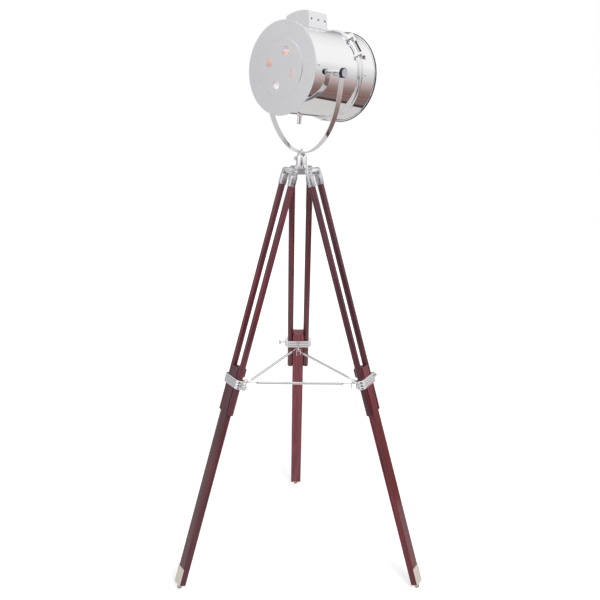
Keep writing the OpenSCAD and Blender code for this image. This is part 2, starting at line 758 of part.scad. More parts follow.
module drum_hinge_leaves() {
  outline = [[96, 105], [96, 120], [103, 130], [pin_l, pin_h + knuckle_r], [pin_l, pin_h - 3.5], [109.4, 126], [109.4, 105]];
  color([0.72, 0.73, 0.75]) hinge_frame() for (w = [[wide_hinge, 87], [narrow_hinge, 92]]) difference() {
    union() {
      leaf(w[0][0], w[0][1], outline);
      leaf_foot(w[0][0], w[0][1], drum_r, w[1], 97);
    }
    drum_cyl(drum_r, 80, 120);
    drum_cyl(bead_r[0] + gap, 100.6, 120);
    pin_hole();
  }
}

module bezel_hinge_leaves() {
  outline = [[111.4, 105], [111.4, 126], [pin_l, pin_h - 3.5], [pin_l, pin_h + knuckle_r], [119, 130.5], [122.6, 127], [122.6, 105]];
  color([0.72, 0.73, 0.75]) hinge_frame() for (w = [[wide_hinge, 122.6], [narrow_hinge, 131]]) difference() {
    union() {
      leaf(w[0][2], w[0][3], outline);
      leaf_foot(w[0][2], w[0][3], bezel_r, 120.5, w[1]);
    }
    drum_cyl(bezel_r, 110, 140);
    drum_cyl(bead_r[1], 100, 120);
    pin_hole();
  }
}

module hinge_pin() {
  color([0.25, 0.22, 0.2]) hinge_frame() translate([wide_hinge[0] - 0.5, pin_l, pin_h]) rotate([0, 90, 0])
    cylinder(d = pin_d, h = narrow_hinge[3] - wide_hinge[0] + 1);
}

module bezel_ring() {
  c = seam_l + 0.2 + bead_c;
  lip_w = 5;
  inner = bezel_r - sheet;
  color([0.82, 0.83, 0.85]) head() difference() {
    union() {
      bead(bead_r[1], c, bead_w);
      drum_cyl(bezel_r, c, head_span[1] - lip_w / 2);
      bead(lip_r, head_span[1] - lip_w / 2, lip_w);
      drum_cyl(lip_r - lip_w / 2, head_span[1] - 2.4, head_span[1] - 0.4);
    }
    drum_cyl(bead_r[1] - bead_w + 2, c - bead_w, c + 1);
    bead(bead_r[1] - sheet, c, bead_w - 2 * sheet);
    drum_cyl(inner, c, head_span[1] - 2.4);
    drum_cyl(drum_r - 1, c, head_span[1] + 1);
    for (a = screw_turns) clock(87 + a) translate([0, 124.5 + 0.8, 0]) cylinder(r = 1.6 + run, h = BIG);
  }
}

module bezel_screws() {
  color([0.7, 0.71, 0.73]) head() for (a = screw_turns) clock(87 + a)
    translate([0, 124.5 + 0.8, bezel_r + 0.02]) screw(1.6, 3.4, 2.2, 4);
}

module bezel_liner() {
  outer = bezel_r - sheet - run;
  color([0.75, 0.75, 0.76]) head() difference() {
    drum_cyl(outer, 121, glass_l - 0.05);
    drum_cyl(outer - 1.2, 120, glass_l - 1.25);
    drum_cyl(outer - 5, 120, glass_l + 1);
    for (a = screw_turns) clock(87 + a) translate([0, 124.5 + 0.8, 100]) cylinder(r = 1.6, h = 40);
  }
}

module glass() {
  color([0.9, 0.95, 0.97, 0.4]) head()
    drum_cyl(bezel_r - sheet - 0.8, glass_l, head_span[1] - 2.45);
}

module bezel_tab() {
  half_deg = 3.2;
  color([0.75, 0.76, 0.78]) head() clock(180) difference() {
    union() {
      sector(bead_r[1] + 0.3, bead_r[1] + 1.6, 94, 136, half_deg);
      sector(bezel_r - 1, bead_r[1] + 1.6, 120.8, 136, half_deg);
    }
    drum_cyl(bezel_r, 90, 140);
  }
}

hub();
hinge_bolts();
pan_lock_screw();
for (k = legs) {
  ferrules(k);
  rods(k);
  clamp(k);
  eye_screw(k);
  thumbscrew(k);
  lower_bar(k);
  stop_block(k);
  foot_plate(k);
  ball_foot(k);
  spreader(k);
}
yoke_spigot();
yoke_strap();
yoke_bolt();
tilt_knob(-1);  // tilt_knob_left
tilt_knob(1);  // tilt_knob_right
pivot_spacers();
drum_shell();
rear_plate();
rear_boss();
shell_screws();
vent_box();
vent_screws();
switch_body();
switch_knob();
cord_inlet();
reflector();
holder_bracket();
lamp_holder();
bulb();
drum_hinge_leaves();
hinge_pin();
bezel_ring();
bezel_hinge_leaves();
bezel_screws();
bezel_liner();
glass();
bezel_tab();
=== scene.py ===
"""Looks of the tripod spotlight floor lamp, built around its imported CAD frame."""

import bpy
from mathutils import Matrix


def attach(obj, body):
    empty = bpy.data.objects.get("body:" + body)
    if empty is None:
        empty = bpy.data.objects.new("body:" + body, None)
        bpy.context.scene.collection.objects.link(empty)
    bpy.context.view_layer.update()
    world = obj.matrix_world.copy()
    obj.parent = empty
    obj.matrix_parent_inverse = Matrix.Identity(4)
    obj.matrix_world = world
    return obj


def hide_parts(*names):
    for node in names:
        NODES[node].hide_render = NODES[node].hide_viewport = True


bl_info = {
    "name": "Tripod Spotlight Floor Lamp",
    "version": (1, 0, 0),
    "blender": (4, 5, 0),
    "location": "3D View > Sidebar > Floor Lamp",
    "description": "Finishes, stage and smooth pieces of a chrome spotlight on a wooden tripod",
    "category": "Object",
}

import math
import bpy
import bmesh
from bpy.props import FloatProperty, FloatVectorProperty, PointerProperty
from mathutils import Matrix, Vector

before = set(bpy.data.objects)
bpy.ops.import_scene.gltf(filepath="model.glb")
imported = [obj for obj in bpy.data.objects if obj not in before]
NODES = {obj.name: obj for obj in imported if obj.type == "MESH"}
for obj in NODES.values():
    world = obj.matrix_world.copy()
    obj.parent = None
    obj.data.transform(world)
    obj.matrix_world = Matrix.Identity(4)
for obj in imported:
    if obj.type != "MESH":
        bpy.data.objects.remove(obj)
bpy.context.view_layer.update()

# ---- fixed places of the frame, metres and radians ----
# the tripod's upright axis, the height of the tilt pivots on it, and the head's tilt at rest
AXIS = Vector((-0.0547309, 0.0493091, 0.0))
PIVOT_Z = 1.5373
HEAD_TILT = math.radians(6.7)
LEG_LEAN = math.radians(17.155)
LEG_AZIMUTHS = [math.radians(14.2 + 120 * i) for i in range(3)]
# the bent strap, measured outside: half its width, its depth, and its section
STRAP_HALF, STRAP_DEPTH, STRAP_WIDE, STRAP_THICK = 0.145, 0.2263, 0.020, 0.003
# in the head's frame: the rolled edge of the bezel, which gets a dark chrome as painted shade, lies in front
# of
# # LIP_FROM and outside LIP_RADIUS, and the black side of a tilt knob starts at KNOB_FROM
LIP_FROM, LIP_RADIUS = 0.1690, 0.1262
KNOB_FROM = 0.1446
# turns the object's coordinates of a shader into the head's frame
HEAD_PLACE = {"vector_type": "TEXTURE", "Location": (AXIS.x, AXIS.y, PIVOT_Z),
              "Rotation": (-HEAD_TILT, 0, 0)}

# ---- finish and studio ----
# tone of each leg's wood as factors of red, green and blue: some are redder, some paler, some browner; these
# lit
# # and shaded copies of the one stain are painted light, shade and sheen, and the rear leg 2, which faces the
# camera,
# # is far paler with painted sheen
BAR_TONE_AND_LIGHT = ((1.10, 0.80, 0.75), (1.60, 2.30, 2.00), (0.78, 1.0, 1.0))
ROD_TONE_AND_LIGHT = ((0.62, 0.85, 0.95), (0.95, 1.30, 1.20), (0.92, 1.10, 1.10))
CAMERA_PLACE = (1.5743, -1.7014, 1.6051)
CAMERA_AZIMUTH, CAMERA_PITCH, CAMERA_ROLL = math.radians(132.94), math.radians(-17.131), math.radians(0.592)
CAMERA_LENS = 49.46
# the floor's direction to the right of the picture, by which the studio's room is laid out
RIGHT_X, RIGHT_Y = 0.732, 0.681


def lin(code):
    """sRGB hex colour to linear RGBA."""
    out = []
    for i in (1, 3, 5):
        c = int(code[i:i + 2], 16) / 255
        out.append(c / 12.92 if c <= 0.04045 else ((c + 0.055) / 1.055) ** 2.4)
    return (*out, 1.0)


def rgba(colour):
    """Socket value of an sRGB hex code, a grey level or a linear RGB colour."""
    if isinstance(colour, str):
        return lin(colour)
    if isinstance(colour, float):
        return (colour, colour, colour, 1.0)
    return (*colour[:3], 1.0)


def darker(tint, factor):
    """The same colour, a little darker, for the dull spots of a plated or brushed surface."""
    return (*(c * factor for c in tint[:3]), 1.0)


def add(tree, kind, settings=None, links=None, stops=None):
    """Adds a node. Keys in lower case are its attributes, all others are input sockets."""
    node = tree.nodes.new(kind)
    for key, value in (settings or {}).items():
        if isinstance(key, str) and key.islower():
            setattr(node, key, value)
        else:
            node.inputs[key].default_value = value
    for key, out in (links or {}).items():
        tree.links.new(out, node.inputs[key])
    if stops:
        ramp = node.color_ramp.elements
        while len(ramp) < len(stops):
            ramp.new(0.5)
        for element, (pos, colour) in zip(ramp, stops):
            element.position = pos
            element.color = rgba(colour)
    return node


def new_material(name):
    """An empty material, its node tree and the object's coordinates in it."""
    material = bpy.data.materials.new(name)
    material.use_nodes = True
    tree = material.node_tree
    tree.nodes.clear()
    return material, tree, add(tree, "ShaderNodeTexCoord").outputs["Object"]


def close(tree, shader, height, distance, strength, flat=False):
    """Bump and output of a material. flat keeps the faces of a plate quite plane."""
    bump = add(tree, "ShaderNodeBump", {"Strength": strength, "Distance": distance}, {"Height": height})
    if flat:
        tree.links.new(add(tree, "ShaderNodeNewGeometry").outputs["True Normal"], bump.inputs["Normal"])
    tree.links.new(bump.outputs[0], shader.inputs["Normal"])
    add(tree, "ShaderNodeOutputMaterial", links={"Surface": shader.outputs[0]})


# ---- materials ----

def chrome(name, tint, rough, wave=0.00002, groove_shade=None):
    """Bright chrome plate over polished steel: a clear mirror, slightly wavy where the metal under it was
    bent, with faint wiped smudges and hairlines that spread its highlights. With a shade colour given,
    painted shade darkens its grooves towards that colour."""
    material, tree, at = new_material(name)
    smudge = add(tree, "ShaderNodeTexNoise", {"Scale": 17.0, "Detail": 5.0, "Roughness": 0.6}, {"Vector": at})
    wipe = add(tree, "ShaderNodeTexNoise", {"Scale": 160.0, "Detail": 3.0, "Distortion": 1.5}, {"Vector": at})
    both = add(tree, "ShaderNodeMath", {"operation": "MULTIPLY"}, {0: smudge.outputs[0], 1: wipe.outputs[0]})
    rough_map = add(tree, "ShaderNodeMapRange", {"From Min": 0.15, "From Max": 0.45, "To Min": rough,
                                                 "To Max": rough + 0.06}, {"Value": both.outputs[0]})
    tone = add(tree, "ShaderNodeMapRange", {"From Min": 0.3, "From Max": 0.7}, {"Value": smudge.outputs[0]})
    colour = add(tree, "ShaderNodeMix", {"data_type": "RGBA", 6: darker(tint, 0.96), 7: tint},
                 {0: tone.outputs[0]})
    if groove_shade:
        # painted shade: ambient occlusion darkens the grooves and creases towards the given dark colour
        groove = add(tree, "ShaderNodeAmbientOcclusion", {"Distance": 0.004})
        colour = add(tree, "ShaderNodeMix", {"data_type": "RGBA", 6: groove_shade},
                     {0: groove.outputs["AO"], 7: colour.outputs[2]})
    shader = add(tree, "ShaderNodeBsdfPrincipled", {"Metallic": 1.0},
                 {"Base Color": colour.outputs[2], "Roughness": rough_map.outputs[0]})
    slow = add(tree, "ShaderNodeTexNoise", {"Scale": 26.0, "Detail": 1.0}, {"Vector": at})
    close(tree, shader, slow.outputs[0], wave, 1.0)
    return material


def spun_chrome(name, tint):
    """Chrome on spun sheet: the mirror carries very fine rings round the drum from the spinning lathe,
    which draw its reflections out along the drum."""
    material, tree, at = new_material(name)
    local = add(tree, "ShaderNodeMapping", HEAD_PLACE, {"Vector": at})
    split = add(tree, "ShaderNodeSeparateXYZ", links={"Vector": local.outputs[0]})
    # rings of about 1.5 mm, coarser than the real 0.2 mm marks so that the picture can show them
    along = add(tree, "ShaderNodeCombineXYZ", links={"Y": split.outputs["Y"]})
    rings = add(tree, "ShaderNodeTexNoise", {"Scale": 620.0, "Detail": 2.0}, {"Vector": along.outputs[0]})
    slow = add(tree, "ShaderNodeTexNoise", {"Scale": 11.0, "Detail": 1.5}, {"Vector": local.outputs[0]})
    height = add(tree, "ShaderNodeMix", {"data_type": "FLOAT", 0: 0.06},
                 {2: slow.outputs[0], 3: rings.outputs[0]})
    smudge = add(tree, "ShaderNodeTexNoise", {"Scale": 14.0, "Detail": 6.0, "Roughness": 0.62},
                 {"Vector": at})
    rough_map = add(tree, "ShaderNodeMapRange", {"From Min": 0.35, "From Max": 0.75, "To Min": 0.02,
                                                 "To Max": 0.07}, {"Value": smudge.outputs[0]})
    colour = add(tree, "ShaderNodeMix", {"data_type": "RGBA", 6: darker(tint, 0.97), 7: tint},
                 {0: smudge.outputs[0]})
    shader = add(tree, "ShaderNodeBsdfPrincipled", {"Metallic": 1.0},
                 {"Base Color": colour.outputs[2], "Roughness": rough_map.outputs[0]})
    close(tree, shader, height.outputs[0], 0.00005, 1.0)
    return material


def cast_chrome(name, tint):
    """Chrome plate over a tumbled die casting: a soft mirror with fine dents where the casting under it was
    left uneven, and a colour mottled by noise into light and dark patches, a painted reflection that breaks
    it up."""
    material, tree, at = new_material(name)
    mottle = add(tree, "ShaderNodeTexNoise", {"Scale": 210.0, "Detail": 4.0, "Roughness": 0.6},
                 {"Vector": at})
    dents = add(tree, "ShaderNodeTexNoise", {"Scale": 150.0, "Detail": 2.0}, {"Vector": at})
    # painted reflection: the mottle darkens the chrome's colour to as low as 0.62 in patches
    ramp = add(tree, "ShaderNodeValToRGB", links={"Fac": mottle.outputs[0]},
               stops=[(0.35, 0.62), (0.6, 1.0)])
    colour = add(tree, "ShaderNodeMix", {"data_type": "RGBA", "blend_type": "MULTIPLY", 0: 1.0, 6: tint},
                 {7: ramp.outputs[0]})
    rough_map = add(tree, "ShaderNodeMapRange", {"From Min": 0.3, "From Max": 0.7, "To Min": 0.22,
                                                 "To Max": 0.38}, {"Value": mottle.outputs[0]})
    shader = add(tree, "ShaderNodeBsdfPrincipled", {"Metallic": 1.0},
                 {"Base Color": colour.outputs[2], "Roughness": rough_map.outputs[0]})
    close(tree, shader, dents.outputs[0], 0.0004, 1.0)
    return material


def satin(name, tint, rough, metal, turned=False):
    """Satin-finished steel plate: fine brush lines under a thin clear lacquer, an even pale grey with a
    broad soft sheen. metal falls where the lacquer is milky and spreads the light; turned draws the
    lines as circles, as on a plate finished on the lathe."""
    material, tree, at = new_material(name)
    local = add(tree, "ShaderNodeMapping", HEAD_PLACE, {"Vector": at})
    if turned:
        split = add(tree, "ShaderNodeSeparateXYZ", links={"Vector": local.outputs[0]})
        flat = add(tree, "ShaderNodeCombineXYZ", links={"X": split.outputs["X"], "Y": split.outputs["Z"]})
        radius = add(tree, "ShaderNodeVectorMath", {"operation": "LENGTH"}, {0: flat.outputs[0]})
        place = add(tree, "ShaderNodeCombineXYZ", links={"X": radius.outputs["Value"]})
        lines = add(tree, "ShaderNodeTexNoise", {"Scale": 900.0, "Detail": 3.0}, {"Vector": place.outputs[0]})
    else:
        stretch = add(tree, "ShaderNodeMapping", {"Scale": (1.0, 22.0, 22.0)}, {"Vector": local.outputs[0]})
        lines = add(tree, "ShaderNodeTexNoise", {"Scale": 60.0, "Detail": 3.0},
                    {"Vector": stretch.outputs[0]})
    cloud = add(tree, "ShaderNodeTexNoise", {"Scale": 9.0, "Detail": 5.0, "Roughness": 0.6}, {"Vector": at})
    mix = add(tree, "ShaderNodeMix", {"data_type": "FLOAT", 0: 0.25},
              {2: cloud.outputs[0], 3: lines.outputs[0]})
    rough_map = add(tree, "ShaderNodeMapRange", {"From Min": 0.3, "From Max": 0.7, "To Min": rough - 0.06,
                                                 "To Max": rough + 0.08}, {"Value": mix.outputs[0]})
    colour = add(tree, "ShaderNodeMix", {"data_type": "RGBA", 6: darker(tint, 0.95), 7: tint},
                 {0: mix.outputs[0]})
    shader = add(tree, "ShaderNodeBsdfPrincipled", {"Metallic": metal},
                 {"Base Color": colour.outputs[2], "Roughness": rough_map.outputs[0]})
    close(tree, shader, lines.outputs[0], 0.000004, 0.5, turned)
    return material


def mahogany(name, leg_az, light, dark, gloss):
    """Turned and planed hardwood stained to dark mahogany under varnish: long fine pores and darker
    annual streaks along the leg, worn lighter spots on its edges, and a clear coat whose highlight
    runs down the rods."""
    material, tree, at = new_material(name)
    # turns the grain to the leg: first its azimuth, then its lean
    turned = add(tree, "ShaderNodeMapping", {"Rotation": (0, 0, -leg_az)}, {"Vector": at})
    lean = add(tree, "ShaderNodeMapping", {"Rotation": (0, LEG_LEAN, 0)}, {"Vector": turned.outputs[0]})
    # annual streaks 4 mm across and 120 mm long, pores 0.7 mm across and 20 mm long
    long_scale = add(tree, "ShaderNodeMapping", {"Scale": (1.0, 1.0, 0.035)}, {"Vector": lean.outputs[0]})
    streaks = add(tree, "ShaderNodeTexNoise", {"Scale": 230.0, "Detail": 4.0, "Roughness": 0.55,
                                               "Distortion": 0.35}, {"Vector": long_scale.outputs[0]})
    pores = add(tree, "ShaderNodeTexNoise", {"Scale": 1300.0, "Detail": 2.0},
                {"Vector": long_scale.outputs[0]})
    patches = add(tree, "ShaderNodeTexNoise", {"Scale": 7.0, "Detail": 3.0}, {"Vector": at})
    middle = tuple((a + b) / 2 for a, b in zip(light, dark))
    ramp = add(tree, "ShaderNodeValToRGB", links={"Fac": streaks.outputs[0]},
               stops=[(0.30, dark), (0.47, middle), (0.62, light), (0.8, middle)])
    pore_map = add(tree, "ShaderNodeMapRange", {"From Min": 0.36, "From Max": 0.48, "To Min": 0.82},
                   {"Value": pores.outputs[0]})
    shade = add(tree, "ShaderNodeMapRange",
                {"From Min": 0.3, "From Max": 0.7, "To Min": 0.85, "To Max": 1.12},
                {"Value": patches.outputs[0]})
    factor = add(tree, "ShaderNodeMath", {"operation": "MULTIPLY"},
                 {0: pore_map.outputs[0], 1: shade.outputs[0]})
    toned = add(tree, "ShaderNodeVectorMath", {"operation": "SCALE"},
                {0: ramp.outputs[0], "Scale": factor.outputs[0]})
    # wear: edges rubbed through to the lighter wood
    point = add(tree, "ShaderNodeNewGeometry").outputs["Pointiness"]
    rub = add(tree, "ShaderNodeTexNoise", {"Scale": 90.0, "Detail": 4.0}, {"Vector": at})
    sharp = add(tree, "ShaderNodeMapRange", {"From Min": 0.55, "From Max": 0.68, "To Max": 0.5},
                {"Value": point})
    worn = add(tree, "ShaderNodeMath", {"operation": "MULTIPLY"}, {0: sharp.outputs[0], 1: rub.outputs[0]})
    colour = add(tree, "ShaderNodeMix", {"data_type": "RGBA", 7: lin("#8a4038")},
                 {0: worn.outputs[0], 6: toned.outputs[0]})
    rough_map = add(tree, "ShaderNodeMapRange", {"From Min": 0.3, "From Max": 0.7, "To Min": 0.36,
                                                 "To Max": 0.52}, {"Value": streaks.outputs[0]})
    shader = add(tree, "ShaderNodeBsdfPrincipled", {"Coat Weight": 1.0, "Coat Roughness": gloss,
                                                    "Coat IOR": 1.5, "Specular IOR Level": 0.12},
                 {"Base Color": colour.outputs[2], "Roughness": rough_map.outputs[0]})
    close(tree, shader, pores.outputs[0], 0.00006, 0.7)
    return material


def dark_steel(name):
    """Blued steel wire of the hinge pin: dark, oiled, with brown heat colour and fine drawing marks."""
    material, tree, at = new_material(name)
    heat = add(tree, "ShaderNodeTexNoise", {"Scale": 60.0, "Detail": 4.0}, {"Vector": at})
    ramp = add(tree, "ShaderNodeValToRGB", links={"Fac": heat.outputs[0]},
               stops=[(0.3, "#2a2320"), (0.55, "#4a3d36"), (0.75, "#5d524c")])
    rough_map = add(tree, "ShaderNodeMapRange", {"To Min": 0.25, "To Max": 0.5}, {"Value": heat.outputs[0]})
    shader = add(tree, "ShaderNodeBsdfPrincipled", {"Metallic": 1.0},
                 {"Base Color": ramp.outputs[0], "Roughness": rough_map.outputs[0]})
    close(tree, shader, heat.outputs[0], 0.00003, 0.5)
    return material


def rubber(name):
    """Moulded black rubber of the cord grommet: matt, dusty, slightly orange-peeled."""
    material, tree, at = new_material(name)
    peel = add(tree, "ShaderNodeTexNoise", {"Scale": 900.0, "Detail": 3.0}, {"Vector": at})
    dust = add(tree, "ShaderNodeTexNoise", {"Scale": 45.0, "Detail": 5.0}, {"Vector": at})
    ramp = add(tree, "ShaderNodeValToRGB", links={"Fac": dust.outputs[0]},
               stops=[(0.35, "#141313"), (0.7, "#2b2928")])
    rough_map = add(tree, "ShaderNodeMapRange", {"To Min": 0.55, "To Max": 0.8}, {"Value": dust.outputs[0]})
    shader = add(tree, "ShaderNodeBsdfPrincipled", {"Specular IOR Level": 0.35},
                 {"Base Color": ramp.outputs[0], "Roughness": rough_map.outputs[0]})
    close(tree, shader, peel.outputs[0], 0.00008, 0.8)
    return material


def anodised(name):
    """Anodised aluminium reflector: pale and half-matt, with a fine hammered grain."""
    material, tree, at = new_material(name)
    grain = add(tree, "ShaderNodeTexVoronoi", {"feature": "SMOOTH_F1", "Scale": 170.0, "Smoothness": 0.6},
                {"Vector": at})
    cloud = add(tree, "ShaderNodeTexNoise", {"Scale": 21.0, "Detail": 3.0}, {"Vector": at})
    ramp = add(tree, "ShaderNodeValToRGB", links={"Fac": cloud.outputs[0]},
               stops=[(0.3, "#f0efec"), (0.7, "#fafaf8")])
    rough_map = add(tree, "ShaderNodeMapRange", {"To Min": 0.22, "To Max": 0.36},
                    {"Value": cloud.outputs[0]})
    shader = add(tree, "ShaderNodeBsdfPrincipled", {"Metallic": 0.75},
                 {"Base Color": ramp.outputs[0], "Roughness": rough_map.outputs[0]})
    close(tree, shader, grain.outputs[0], 0.0002, 0.5)
    return material


def glow(name, stops):
    """White enamel inside the head, as it shows through the holes of the rear plate, with painted light: it
    glows in bands of warm peach for stray light of the bulb, which run out into white and the cold grey of
    the daylight."""
    material, tree, at = new_material(name)
    local = add(tree, "ShaderNodeMapping", HEAD_PLACE, {"Vector": at})
    split = add(tree, "ShaderNodeSeparateXYZ", links={"Vector": local.outputs[0]})
    cloud = add(tree, "ShaderNodeTexNoise", {"Scale": 40.0, "Detail": 2.0, "Distortion": 0.5},
                {"Vector": local.outputs[0]})
    drift = add(tree, "ShaderNodeMath", {"operation": "MULTIPLY_ADD", 1: 0.02, 2: -0.01},
                {0: cloud.outputs[0]})
    height = add(tree, "ShaderNodeMath", {"operation": "ADD"}, {0: split.outputs["Z"], 1: drift.outputs[0]})
    # the bands of painted light run from 70 mm under the head's axis to 80 mm above it
    place = add(tree, "ShaderNodeMapRange", {"From Min": -0.07, "From Max": 0.08},
                {"Value": height.outputs[0]})
    ramp = add(tree, "ShaderNodeValToRGB", links={"Fac": place.outputs[0]}, stops=stops)
    # painted light: the enamel glows in the colour of its bands
    shader = add(tree, "ShaderNodeBsdfPrincipled", {"Roughness": 0.5, "Emission Strength": 0.5},
                 {"Base Color": ramp.outputs[0], "Emission Color": ramp.outputs[0]})
    close(tree, shader, cloud.outputs[0], 0.0002, 0.5)
    return material


def bakelite(name):
    """Moulded black phenolic knob: glossy black with a brownish swirl, dulled by fingers."""
    material, tree, at = new_material(name)
    swirl = add(tree, "ShaderNodeTexNoise", {"Scale": 70.0, "Detail": 3.0, "Distortion": 1.2}, {"Vector": at})
    ramp = add(tree, "ShaderNodeValToRGB", links={"Fac": swirl.outputs[0]},
               stops=[(0.35, "#161617"), (0.7, "#262322")])
    rough_map = add(tree, "ShaderNodeMapRange", {"To Min": 0.12, "To Max": 0.3}, {"Value": swirl.outputs[0]})
    shader = add(tree, "ShaderNodeBsdfPrincipled",
                 links={"Base Color": ramp.outputs[0], "Roughness": rough_map.outputs[0]})
    close(tree, shader, swirl.outputs[0], 0.00005, 0.4)
    return material


def porcelain(name):
    """Glazed white porcelain lamp holder: cream body under a glossy glaze with faint specks, with a
    painted glow in its own colour for the light of the bulb in it."""
    material, tree, at = new_material(name)
    speck = add(tree, "ShaderNodeTexNoise", {"Scale": 240.0, "Detail": 3.0}, {"Vector": at})
    ramp = add(tree, "ShaderNodeValToRGB", links={"Fac": speck.outputs[0]},
               stops=[(0.3, "#e6d3c2"), (0.4, "#f1e3d8"), (0.8, "#f6ece6")])
    rough_map = add(tree, "ShaderNodeMapRange", {"To Min": 0.2, "To Max": 0.4}, {"Value": speck.outputs[0]})
    # painted light: the emission makes the holder glow in its own colour
    shader = add(tree, "ShaderNodeBsdfPrincipled", {"Coat Weight": 0.5, "Coat Roughness": 0.12,
                                                    "Emission Strength": 0.35},
                 {"Base Color": ramp.outputs[0], "Emission Color": ramp.outputs[0],
                  "Roughness": rough_map.outputs[0]})
    close(tree, shader, speck.outputs[0], 0.00005, 0.4)
    return material


def frosted(name):
    """Soft-white bulb: glass etched and coated inside, so the lit filament spreads into an even warm glow."""
    material, tree, at = new_material(name)
    coat = add(tree, "ShaderNodeTexNoise", {"Scale": 55.0, "Detail": 4.0}, {"Vector": at})
    ramp = add(tree, "ShaderNodeValToRGB", links={"Fac": coat.outputs[0]},
               stops=[(0.3, "#f9ecd9"), (0.7, "#fff6e9")])
    rough_map = add(tree, "ShaderNodeMapRange", {"To Min": 0.25, "To Max": 0.45}, {"Value": coat.outputs[0]})
    shader = add(tree, "ShaderNodeBsdfPrincipled", {"Emission Strength": 0.8, "Coat Weight": 0.4,
                                                    "Coat Roughness": 0.1},
                 {"Base Color": ramp.outputs[0], "Emission Color": ramp.outputs[0],
                  "Roughness": rough_map.outputs[0]})
    close(tree, shader, coat.outputs[0], 0.00004, 0.4)
    return material


def lens(name):
    """Pressed safety glass of the front lens: clear, faintly green, with a slight ripple of the mould."""
    material, tree, at = new_material(name)
    ripple = add(tree, "ShaderNodeTexNoise", {"Scale": 60.0, "Detail": 2.0}, {"Vector": at})
    wipe = add(tree, "ShaderNodeTexNoise", {"Scale": 12.0, "Detail": 5.0}, {"Vector": at})
    ramp = add(tree, "ShaderNodeValToRGB", links={"Fac": wipe.outputs[0]},
               stops=[(0.3, "#eef5f2"), (0.7, "#fafcfb")])
    rough_map = add(tree, "ShaderNodeMapRange", {"From Min": 0.4, "From Max": 0.8, "To Min": 0.02,
                                                 "To Max": 0.09}, {"Value": wipe.outputs[0]})
    shader = add(tree, "ShaderNodeBsdfPrincipled", {"Transmission Weight": 1.0, "IOR": 1.5},
                 {"Base Color": ramp.outputs[0], "Roughness": rough_map.outputs[0]})
    close(tree, shader, ripple.outputs[0], 0.0001, 0.4)
    return material


# ---- meshes ----

def link(obj):
    """Puts an object in the scene."""
    bpy.context.scene.collection.objects.link(obj)
    return obj


def mesh_object(name, build):
    """An object whose mesh comes from a function that fills a bmesh."""
    bm = bmesh.new()
    build(bm)
    bmesh.ops.recalc_face_normals(bm, faces=bm.faces)
    mesh = bpy.data.meshes.new(name)
    bm.to_mesh(mesh)
    bm.free()
    for polygon in mesh.polygons:
        polygon.use_smooth = True
    return link(bpy.data.objects.new(name, mesh))


def dress(node, material, bevel, segments=2):
    """Finish of a CAD node: its material, and broken edges that catch the light unless bevel is 0."""
    obj = NODES[node]
    obj.data.materials.clear()
    obj.data.materials.append(material)
    if not bevel:
        return
    weld = obj.modifiers.new("weld", "WELD")
    weld.merge_threshold = 0.00001
    edge = obj.modifiers.new("edges", "BEVEL")
    edge.width = bevel
    edge.segments = segments
    edge.limit_method = "ANGLE"
    edge.angle_limit = math.radians(35)
    edge.harden_normals = True
    edge.use_clamp_overlap = True


def paint(obj, material, choose):
    """Gives a second material to the faces that a test on their place and normal in the head picks."""
    obj.data.materials.append(material)
    inverse = head_matrix().inverted() @ obj.matrix_world
    turn = inverse.to_3x3()
    for polygon in obj.data.polygons:
        if choose(inverse @ polygon.center, turn @ polygon.normal):
            polygon.material_index = 1


def head_matrix():
    """From the head's frame, with its y axis along the drum, to the scene's."""
    return Matrix.Translation(AXIS + Vector((0, 0, PIVOT_Z))) @ Matrix.Rotation(-HEAD_TILT, 4, "X")


def strap_section(width, thick):
    """Section of the strap as (across, out) pairs: rounded edges and slightly crowned faces."""
    radius, crown = 0.0008, 0.0004
    corner = []
    for i in range(5):
        a = math.pi / 2 * i / 4
        corner.append((width / 2 - radius + radius * math.cos(a),
                       thick / 2 - crown - radius + radius * math.sin(a)))
    flat = width / 2 - radius
    top = [(flat * (1 - i / 4), thick / 2 - crown * (1 - i / 4) ** 2) for i in range(1, 5)]
    half = corner + top
    upper = half + [(-x, y) for x, y in reversed(half[:-1])]
    return upper + [(x, -y) for x, y in reversed(upper)]


def strap_end(x, side, z):
    """Station of a round end at height z over the pivot, where the strap is as wide as a circle."""
    return x, z, side, 0, 2 * math.sqrt(max((STRAP_WIDE / 2) ** 2 - z * z, 1e-8))


def build_strap(bm):
    """Half-elliptic bent strap with round ends about the pivots, swept through stations of place,
    outward normal and width."""
    mid_x, mid_z = STRAP_HALF - STRAP_THICK / 2, STRAP_DEPTH - STRAP_THICK / 2
    ends, steps = 12, 220
    stations = [strap_end(-mid_x, -1, STRAP_WIDE / 2 * math.cos(math.pi / 2 * i / ends))
                for i in range(ends)]
    for i in range(steps + 1):
        t = math.pi + math.pi * i / steps
        nx, nz = math.cos(t) / mid_x, math.sin(t) / mid_z
        n = math.hypot(nx, nz)
        stations.append((mid_x * math.cos(t), mid_z * math.sin(t), nx / n, nz / n, STRAP_WIDE))
    stations += [strap_end(mid_x, 1, STRAP_WIDE / 2 * math.sin(math.pi / 2 * (i + 1) / ends))
                 for i in range(ends)]
    rings = []
    for x, z, nx, nz, wide in stations:
        # the tips keep a width that leaves room for the rounded edges
        section = strap_section(max(wide, 0.0024), STRAP_THICK)
        rings.append([bm.verts.new(AXIS + Vector((x + nx * out, across, PIVOT_Z + z + nz * out)))
                      for across, out in section])
    for a, b in zip(rings, rings[1:]):
        for i in range(len(a)):
            j = (i + 1) % len(a)
            bm.faces.new((a[i], a[j], b[j], b[i]))
    bm.faces.new(rings[0])
    bm.faces.new(rings[-1])


# ---- settings ----

